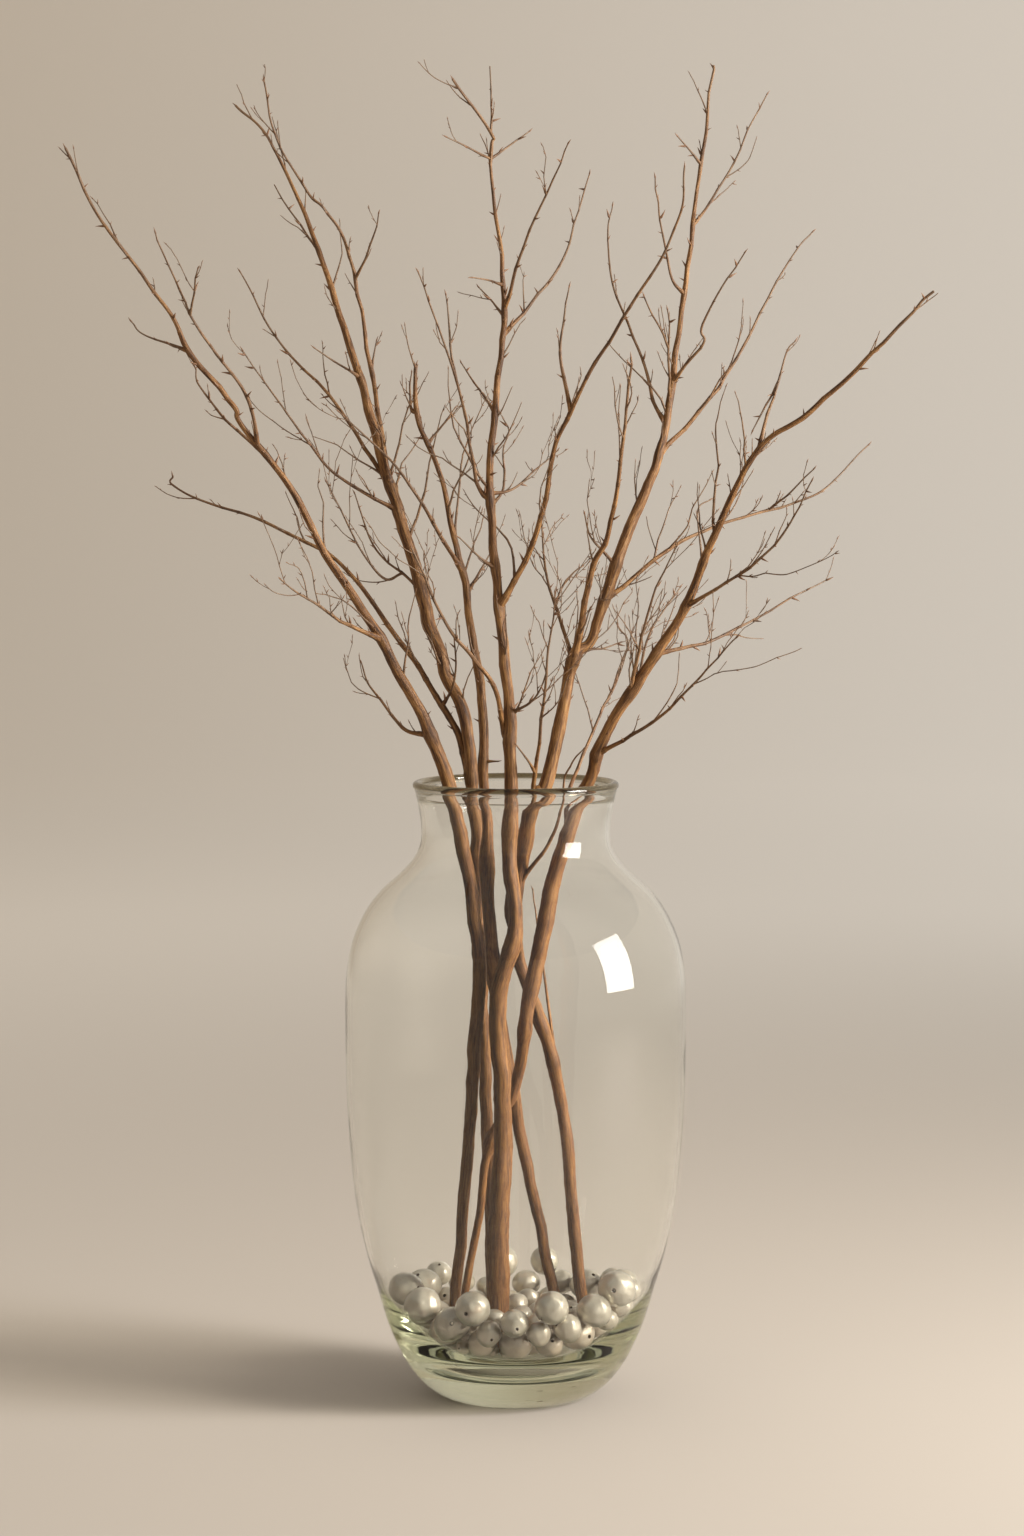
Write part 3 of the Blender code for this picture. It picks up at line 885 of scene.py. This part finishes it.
class Willow:
    """One stem with everything that grows on it."""

    def __init__(self, plan: StemPlan, habit: Habit, seed: int, wood: Wood, box: tuple) -> None:
        """Grow the stem.

        Args:
            plan: the stem's route and shoots.
            habit: how the species grows.
            seed: fixes the stem's own random draws.
            wood: all the wood grown so far, which this stem adds to.
            box: lowest and highest corner that the wood may reach.
        """
        self.plan = plan
        self.habit = habit
        self.chance = random.Random(seed)
        self.seed = seed
        self.wood = wood
        self.low, self.high = (np.array(corner) for corner in box)
        self.limbs: list[Limb] = []
        self.buds = Sites()
        self._grow_planned()

    def of(self, *growths: Growth) -> list[Limb]:
        """Return the limbs of some kinds."""
        return [limb for limb in self.limbs if limb.growth in growths]

    def _grow_planned(self) -> None:
        """Grow the stem and its planned shoots."""
        stem = smooth_rows(self.plan.route, self.habit.spacing / MM) * MM
        radii = stem[:, 3]
        for height, share, half in self.plan.swellings:
            radii = radii * (1 + share * np.exp(-((stem[:, 2] / MM - height) / half) ** 2))
        self.limbs.append(self._finish(Growth.STEM, stem[:, :3], radii))
        for shoot in self.plan.shoots:
            start, parent_radius = self._nearest(np.array(shoot.route[0], dtype=float) * MM)
            rows = [tuple(start / MM)] + list(shoot.route[1:])
            points = smooth_rows(rows, self.habit.spacing / MM) * MM
            run = lengths_along(points)
            tip = max(0.5 * MM, 0.26 * shoot.radius * MM)
            radii = shoot.radius * MM + (tip - shoot.radius * MM) * (run / run[-1]) ** 0.85
            collar = np.exp(-np.maximum(run - parent_radius, 0.0) / (5 * MM))
            radii = np.minimum(radii * (1 + 0.7 * collar), np.maximum(0.86 * parent_radius, radii))
            self.limbs.append(self._finish(Growth.SHOOT, points, radii))

    def _nearest(self, point: np.ndarray) -> tuple[np.ndarray, float]:
        """Swell the wood nearest to a point into a knot and return its place and radius there."""
        def gap_to(limb: Limb) -> float:
            """Return the limb's least distance to the point."""
            return float(np.linalg.norm(limb.points - point, axis=1).min())
        owner = min(self.limbs, key=gap_to)
        index = int(np.linalg.norm(owner.points - point, axis=1).argmin())
        place, radius = owner.points[index], float(owner.radii[index])
        swell = np.exp(-((np.arange(len(owner.points)) - index) * self.habit.spacing / (6 * MM)) ** 2)
        owner.radii = owner.radii * (1 + 0.16 * swell)
        owner.knots = np.maximum(owner.knots, 0.6 * swell)
        return place, radius

    def _finish(self, growth: Growth, points: np.ndarray, radii: np.ndarray) -> Limb:
        """Give a limb its wandering line, its nodes with their kinks and its swellings."""
        run = lengths_along(points)
        tangents = np.gradient(points, axis=0)
        tangents /= np.linalg.norm(tangents, axis=1)[:, None]
        fade = np.clip(run / (18 * MM), 0.0, 1.0)
        calm = 0.35 if growth is Growth.TWIG else 1.0
        drift = np.array([self._drift(p) for p in points]) * self.habit.wander * calm
        nodes = []
        reach = self.chance.uniform(*self.habit.node_gap) * 0.5
        while reach < run[-1] - 3 * MM:
            nodes.append(reach)
            reach += self.chance.uniform(*self.habit.node_gap)
        stops = [0.0] + nodes + [run[-1]]
        offsets = [np.array([self.chance.uniform(-1, 1) for _ in range(3)]) for _ in stops]
        zigzag = np.column_stack([np.interp(run, stops, [o[k] for o in offsets]) for k in range(3)])
        shift = drift + zigzag * self.habit.kink
        shift -= tangents * (shift * tangents).sum(axis=1)[:, None]
        moved = points + shift * fade[:, None]
        knots = np.zeros(len(points))
        for node in nodes:
            knots = np.maximum(knots, np.exp(-((run - node) / (1.6 * MM)) ** 2))
        lumps = np.array([noise.noise(Vector(p) * 45.0) for p in points])
        swelling = 0.025 if growth is Growth.STEM else 0.12
        swollen = radii * (1 + swelling * knots + 0.07 * lumps)
        limb = Limb(growth, moved, swollen, (0.12 if growth is Growth.STEM else 0.7) * knots)
        limb.nodes = [int(np.searchsorted(run, node)) for node in nodes]
        self.wood.add(moved, swollen)
        return limb

    def _drift(self, point: np.ndarray) -> np.ndarray:
        """Return the slow sideways wandering of the wood near a point."""
        shifted = Vector(point) * 22.0 + Vector((self.seed, 0.0, 0.0))
        return np.array([noise.noise(shifted + Vector((0.0, 9.3 * k, 0.0))) for k in range(3)])

    def grow_twigs(self) -> None:
        """Grow twigs on the stem and shoots, then finer ones on those, and buds on all of them."""
        layer = list(self.limbs)
        for _ in range(self.habit.layers):
            grown = []
            for limb in layer:
                grown.extend(self._twigs_on(limb))
            self.limbs.extend(grown)
            layer = grown
        for limb in self.limbs:
            self._buds_on(limb)

    def _frame_at(self, limb: Limb, index: int) -> tuple[np.ndarray, np.ndarray]:
        """Return the tangent of a limb at a point and a random direction across it."""
        last = len(limb.points) - 1
        tangent = limb.points[min(index + 2, last)] - limb.points[max(index - 2, 0)]
        tangent /= np.linalg.norm(tangent)
        across = np.array([self.chance.gauss(0, 1) for _ in range(3)])
        across -= tangent * across.dot(tangent)
        return tangent, across / np.linalg.norm(across)

    def _twigs_on(self, limb: Limb) -> list[Limb]:
        """Return the twigs that leave a limb's nodes and keep clear of all other wood."""
        habit = self.habit
        shortest, longest = habit.twig_length[limb.growth]
        grown = []
        for index in limb.nodes:
            side, _, height = limb.points[index]
            dense = height < habit.dense_below and abs(side) < habit.dense_within
            chance = habit.twig_chance[limb.growth] * (habit.dense_factor if dense else 1.0)
            if height < habit.bare_below or self.chance.random() > chance:
                continue
            length = shortest + (longest - shortest) * self.chance.random() ** 1.4
            length *= 1.0 if dense else habit.sparse_length
            for _ in range(habit.twig_tries):
                points = self._twig_line(limb, index, length)
                radius = min(0.50 * limb.radii[index], 0.42 * MM + 0.008 * length)
                if self._is_free(points, radius, limb, index):
                    run = lengths_along(points)
                    radii = radius + (habit.twig_tip - radius) * run / run[-1]
                    radii *= 1 + 0.6 * np.exp(-run / (2.5 * MM))
                    grown.append(self._finish(Growth.TWIG, points, radii))
                    break
                length *= habit.shorter
        return grown

    def _twig_line(self, limb: Limb, index: int, length: float) -> np.ndarray:
        """Return the points of one twig, which turns a little at each node and tends upwards."""
        spacing = self.habit.twig_spacing
        tangent, across = self._frame_at(limb, index)
        angle = math.radians(self.chance.uniform(*self.habit.twig_angle))
        heading = tangent * math.cos(angle) + across * math.sin(angle)
        rise = self.chance.uniform(0.2, 0.9)
        turn_at = self.chance.uniform(8 * MM, 18 * MM)
        points = [limb.points[index].copy()]
        steps = max(4, round(length / spacing))
        for step in range(steps):
            heading = heading + np.array([0.0, 0.0, rise]) / steps
            if step * spacing > turn_at:
                turn_at += self.chance.uniform(8 * MM, 20 * MM)
                heading += self.habit.twig_turn * np.array([self.chance.gauss(0, 1) for _ in range(3)])
            heading /= np.linalg.norm(heading)
            points.append(points[-1] + heading * spacing)
        return np.array(points)

    def _is_free(self, points: np.ndarray, radius: float, limb: Limb, index: int) -> bool:
        """Say whether a twig stays in the box, above the lip and clear of all other wood."""
        margin = 4 * MM
        if (points < self.low - margin).any() or (points > self.high + margin).any():
            return False
        if points[:, 2].min() < self.habit.bare_below - 15 * MM:
            return False
        own = float(limb.radii[index]) * 1.5 + 5 * MM
        tested = points[max(2, int(own / self.habit.twig_spacing)):]
        return len(tested) == 0 or self.wood.air(tested) > radius + self.habit.clear

    def _buds_on(self, limb: Limb) -> None:
        """Set buds at a limb's nodes and one at its tip."""
        for index in limb.nodes:
            if limb.points[index][2] < self.habit.bare_below or limb.radii[index] > 5.0 * MM:
                continue
            if self.chance.random() > self.habit.bud_chance:
                continue
            tangent, across = self._frame_at(limb, index)
            lean = math.radians(self.chance.uniform(*self.habit.bud_lean))
            aim = tangent * math.cos(lean) + across * math.sin(lean)
            place = limb.points[index] + across * limb.radii[index] * 0.7
            longest = 4.5 if limb.growth is Growth.TWIG else 8.5
            size = self.chance.uniform(2.4, longest) * MM
            self.buds.add(place, aim, size, self.chance.uniform(0, FULL_TURN))
        tip = limb.points[-1] - limb.points[-3]
        tip /= np.linalg.norm(tip)
        if (limb.points[-1] + tip * 6 * MM < self.high).all():
            size = self.chance.uniform(2.6, 4.0) if limb.growth is Growth.TWIG else 5.5
            self.buds.add(limb.points[-1] - tip * 1.0 * MM, tip, size * MM,
                          self.chance.uniform(0, FULL_TURN))


def skeleton(name: str, limbs: Sequence[Limb]) -> bpy.types.Object:
    """Return an object with one line of edges for each limb, and the wood's attributes."""
    verts, edges, girth, along, knot = [], [], [], [], []
    for limb in limbs:
        first = len(verts)
        verts.extend(map(tuple, limb.points))
        edges.extend((first + i, first + i + 1) for i in range(len(limb.points) - 1))
        girth.extend(limb.radii)
        along.extend(lengths_along(limb.points) + 0.37 * first)
        knot.extend(limb.knots)
    mesh = bpy.data.meshes.new(name)
    mesh.from_pydata(verts, edges, [])
    store(mesh, "girth", np.array(girth))
    store(mesh, "along", np.array(along))
    store(mesh, "knot", np.array(knot))
    return link(name, mesh)


def bud_shape() -> bpy.types.Object:
    """Return the pointed bud that is repeated: a unit long, slightly bent, with five sides."""
    profile = ((0.100, 0.00), (0.125, 0.16), (0.110, 0.36), (0.070, 0.62), (0.030, 0.88))
    sides = 5
    verts = [(0.0, 0.0, -0.05)]
    for radius, height in profile:
        bend = 0.16 * height ** 2
        for k in range(sides):
            angle = 2 * math.pi * k / sides
            verts.append((radius * math.cos(angle) + bend, radius * math.sin(angle), height))
    verts.append((0.17, 0.0, 1.0))
    faces = [(0, 1 + (k + 1) % sides, 1 + k) for k in range(sides)]
    for ring in range(len(profile) - 1):
        low = 1 + ring * sides
        for k in range(sides):
            n = (k + 1) % sides
            faces.append((low + k, low + n, low + sides + n, low + sides + k))
    last = len(verts) - 1
    low = last - sides
    faces.extend((low + k, low + (k + 1) % sides, last) for k in range(sides))
    mesh = bpy.data.meshes.new("bud_shape")
    mesh.from_pydata(verts, [], faces)
    mesh.shade_smooth()
    store(mesh, "reach", np.clip([v[2] for v in verts], 0.0, 1.0))
    return link("bud_shape", mesh)


@dataclass
class Bouquet:
    """All six stems, grown together so that none passes through another."""

    plans: tuple
    habit: Habit = field(default_factory=Habit)
    seed: int = 20
    stem_sides: int = 28
    shoot_sides: int = 12
    twig_sides: int = 5

    def grow(self, box: tuple) -> list[Willow]:
        """Return the grown stems."""
        wood = Wood()
        willows = [Willow(plan, self.habit, self.seed + i, wood, box)
                   for i, plan in enumerate(self.plans)]
        for willow in willows:
            willow.grow_twigs()
        return willows

    def build(self, willows: Sequence[Willow]) -> None:
        """Make the stem, the shoots, the twigs and the buds of every willow."""
        old_bark = Bark("stem_bark").material()
        young_bark = Bark("twig_bark", fibre_width=0.6 * MM, relief=0.2 * MM).material()
        bud_scale = BudScale().material()
        tubes = tube_tree()
        scatter = scatter_tree()
        shape = bud_shape()
        kinds = ((Growth.STEM, "_wood", self.stem_sides, 0.22, 0.20, old_bark),
                 (Growth.SHOOT, "_shoots", self.shoot_sides, 0.22, 0.12, old_bark),
                 (Growth.TWIG, "_twigs", self.twig_sides, 0.15, 0.0, young_bark))
        for willow in willows:
            node = willow.plan.node
            pieces = [tubes.run(skeleton(node + ending, willow.of(growth)), Sides=sides, Lumps=lumps,
                                Ridges=ridges, Material=bark)
                      for growth, ending, sides, lumps, ridges, bark in kinds]
            pieces.append(scatter.run(willow.buds.points(node + "_buds"), Shape=shape,
                                      Material=bud_scale))
            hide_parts(node)
            for piece in pieces:
                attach(piece, "root")
                LOG.info("%s: %d faces", piece.name, len(piece.data.polygons))
        bpy.data.objects.remove(shape)


# ----- Pearls -----

@dataclass
class PearlBed:
    """The loose drilled pearls: those of the frame, and smaller ones between and on them."""

    vase: Vase
    seed: int = 5
    small_count: int = 70
    small_radii: tuple = (4.5 * MM, 10.0 * MM)
    gap: float = 0.25 * MM
    top: float = 0.100
    bottom: float = 0.034
    reach: float = 0.112
    bore: float = 0.085
    tries: int = 60000

    def shape(self) -> bpy.types.Object:
        """Return a pearl of radius 1, drilled through along Z with a softened edge."""
        lip = math.asin(self.bore * 1.5)
        outside = [(math.sin(a), -math.cos(a)) for a in np.linspace(lip, math.pi - lip, 15)]
        depth = math.cos(lip) - 0.03
        edge = (self.bore * 1.15, depth + 0.018)
        hole = [edge, (self.bore, depth - 0.04), (self.bore, 0.3)]
        inside = hole + [(r, -h) for r, h in reversed(hole)]
        loop = np.array(outside + inside + [outside[0]])
        mesh = lathe_mesh("pearl_shape", loop, 24)
        radii = np.array([math.hypot(v.co.x, v.co.y) for v in mesh.vertices])
        # This marks the drilled hole, where the pearl material paints shade.
        store(mesh, "bored", (radii < self.bore * 1.3).astype(float))
        return link("pearl_shape", mesh)

    def from_frame(self) -> list[tuple]:
        """Return (x, y, z, radius) of every pearl node, in metres."""
        pearls = []
        for name in sorted(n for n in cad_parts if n.startswith("pearl_")):
            low, high = (np.array(corner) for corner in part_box(name))
            pearls.append((*((low + high) / 2), float((high - low).max()) / 2))
        return pearls

    def small(self, large: Sequence[tuple], wood: Sequence[tuple]) -> list[tuple]:
        """Fill the widest gaps of the bed with small pearls.

        Args:
            large: the frame's pearls, as (x, y, z, radius).
            wood: the (points, radii) of the stems.

        Returns:
            The small pearls, as (x, y, z, radius).
        """
        draw = np.random.default_rng(self.seed)
        inner = self.vase.inner() * MM
        inner = inner[inner[:, 1] < 0.16]
        angle = draw.uniform(0, 2 * math.pi, self.tries)
        across = self.reach * np.sqrt(draw.uniform(0, 1, self.tries))
        height = draw.uniform(self.bottom, self.top, self.tries)
        places = np.column_stack([across * np.cos(angle), across * np.sin(angle), height])
        to_glass = np.linalg.norm(np.column_stack([across, height])[:, None, :]
                                  - inner[None, :, :], axis=2).min(axis=1)
        within = across < np.interp(height, inner[:, 1], inner[:, 0])
        free = np.where(within, to_glass, -1.0)
        for points, radii in wood:
            low = points[:, 2] < 0.15
            if low.any():
                gaps = np.linalg.norm(places[:, None, :] - points[None, low, :], axis=2)
                free = np.minimum(free, (gaps - radii[low]).min(axis=1))
        for x, y, z, radius in large:
            free = np.minimum(free, np.linalg.norm(places - (x, y, z), axis=1) - radius)
        smallest, largest = self.small_radii
        made = []
        for _ in range(self.small_count):
            limit = draw.uniform(smallest + 1 * MM, largest)
            fits = np.where(free - self.gap > smallest, np.minimum(free - self.gap, limit), -1.0)
            score = fits - 0.10 * places[:, 2]
            best = int(score.argmax())
            if fits[best] < smallest:
                break
            radius = float(fits[best])
            made.append((*places[best], radius))
            free = np.minimum(free, np.linalg.norm(places - places[best], axis=1) - radius)
        return made

    def build(self, wood: Sequence[tuple]) -> None:
        """Make both sets of pearls."""
        nacre = Nacre().material()
        shape = self.shape()
        scatter = scatter_tree()
        large = self.from_frame()
        chance = random.Random(self.seed)
        for name, pearls in (("pearls", large), ("small_pearls", self.small(large, wood))):
            sites = Sites()
            for x, y, z, radius in pearls:
                aim = Vector([chance.gauss(0, 1) for _ in range(3)]).normalized()
                sites.add((x, y, z), aim, radius, 0.0, chance.random())
            piece = scatter.run(sites.points(name), Shape=shape, Material=nacre)
            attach(piece, "root")
            if name == "pearls":
                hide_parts(*sorted(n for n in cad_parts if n.startswith("pearl_")))
            LOG.info("%s: %d pearls", name, len(pearls))
        bpy.data.objects.remove(shape)


# ----- Studio -----

@dataclass
class Studio:
    """A round pale cove, a window on the right with a lamp in it, two unseen fills and a camera."""

    floor_radius: float = 6.0
    bend_radius: float = 2.0
    cove_height: float = 4.5
    window_power: float = 29.0
    lamp_power: float = 12.0
    lamp_size: float = 0.50
    spread: float = 90.0
    fill_power: float = 6.0
    back_fill_power: float = 9.0
    sky: tuple = (1.0, 0.94, 0.86)
    sky_strength: float = 0.38
    eye: tuple = (-0.003, -2.958, 0.743)
    pitch: float = 4.5
    lens: float = 86.5
    bounces: int = 24

    def build(self) -> None:
        """Make the cove, the lights and the camera."""
        self._cove()
        self._lights()
        self._camera()
        self._light_paths()

    def _light_paths(self) -> None:
        """Let light turn often enough inside the thick glass foot, and show colours as they are."""
        scene = bpy.context.scene
        scene.cycles.max_bounces = self.bounces
        scene.cycles.glossy_bounces = self.bounces
        scene.cycles.transmission_bounces = self.bounces
        scene.cycles.caustics_reflective = False
        scene.cycles.caustics_refractive = False
        scene.view_settings.view_transform = "Standard"

    def _cove(self) -> None:
        """Make floor and wall as one seamless turned sheet, open at the top."""
        floor = [(r, 0.0) for r in np.linspace(0.0, self.floor_radius, 13)]
        bend = [(self.floor_radius + self.bend_radius * math.sin(a),
                 self.bend_radius * (1 - math.cos(a))) for a in np.radians(np.arange(7.5, 91, 7.5))]
        wall = [(self.floor_radius + self.bend_radius, self.cove_height)]
        profile = np.array(floor + bend + wall)
        profile[:, 1] -= FLOOR_DROP
        mesh = lathe_mesh("studio_cove", profile, 96)
        mesh.flip_normals()
        mesh.materials.append(StudioPaper().material())
        link("studio_cove", mesh)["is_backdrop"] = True

    def _area(self, name: str, place: tuple, target: tuple, size: tuple, power: float,
              colour: tuple) -> bpy.types.Object:
        """Add a rectangular area light at a place, turned to a target, and return it."""
        light = bpy.data.lights.new(name, "AREA")
        light.shape = "RECTANGLE"
        light.size, light.size_y = size
        light.energy = power
        light.color = colour
        obj = link(name, light)
        obj.location = place
        obj.rotation_euler = (Vector(target) - Vector(place)).to_track_quat("-Z", "Y").to_euler()
        return obj

    def _lights(self) -> None:
        """Add the window, a small lamp in it, the two unseen fills and the sky."""
        window = self._area("window", (2.5, -0.75, 1.15), (0.0, 0.0, 0.5), (1.1, 1.5),
                            self.window_power, (1.0, 0.97, 0.92))
        window.visible_transmission = False
        lamp = self._area("lamp", (2.36, -0.72, 1.40), (0.0, 0.0, 0.3),
                          (self.lamp_size, self.lamp_size), self.lamp_power, (1.0, 0.96, 0.90))
        for light in (window, lamp):
            light.data.spread = math.radians(self.spread)
        for name, place, power in (("fill", (-2.2, -2.6, 2.4), self.fill_power),
                                   ("back_fill", (-1.8, 2.8, 2.6), self.back_fill_power)):
            fill = self._area(name, place, (0.0, 0.0, 0.5), (2.4, 2.4), power, (1.0, 0.92, 0.82))
            fill.visible_glossy = False
            fill.visible_transmission = False
        world = bpy.data.worlds.new("sky")
        bpy.context.scene.world = world
        world.use_nodes = True
        background = world.node_tree.nodes["Background"]
        background.inputs["Color"].default_value = (*self.sky, 1.0)
        background.inputs["Strength"].default_value = self.sky_strength

    def _camera(self) -> None:
        """Add the camera."""
        camera = bpy.data.cameras.new("camera")
        camera.lens = self.lens
        obj = link("camera", camera)
        obj.location = self.eye
        obj.rotation_euler = (math.radians(90.0 - self.pitch), 0.0, 0.0)
        bpy.context.scene.camera = obj


def main() -> None:
    logging.basicConfig(level=logging.INFO, format="%(name)s: %(message)s")
    cad_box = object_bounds()
    vase = Vase()
    vase.build()
    bouquet = Bouquet(STEM_PLANS)
    willows = bouquet.grow(cad_box)
    bouquet.build(willows)
    planned = [(limb.points, limb.radii) for willow in willows for limb in willow.limbs
               if limb.growth is Growth.STEM]
    PearlBed(vase).build(planned)
    Studio().build()


if __name__ == "__main__":
    main()
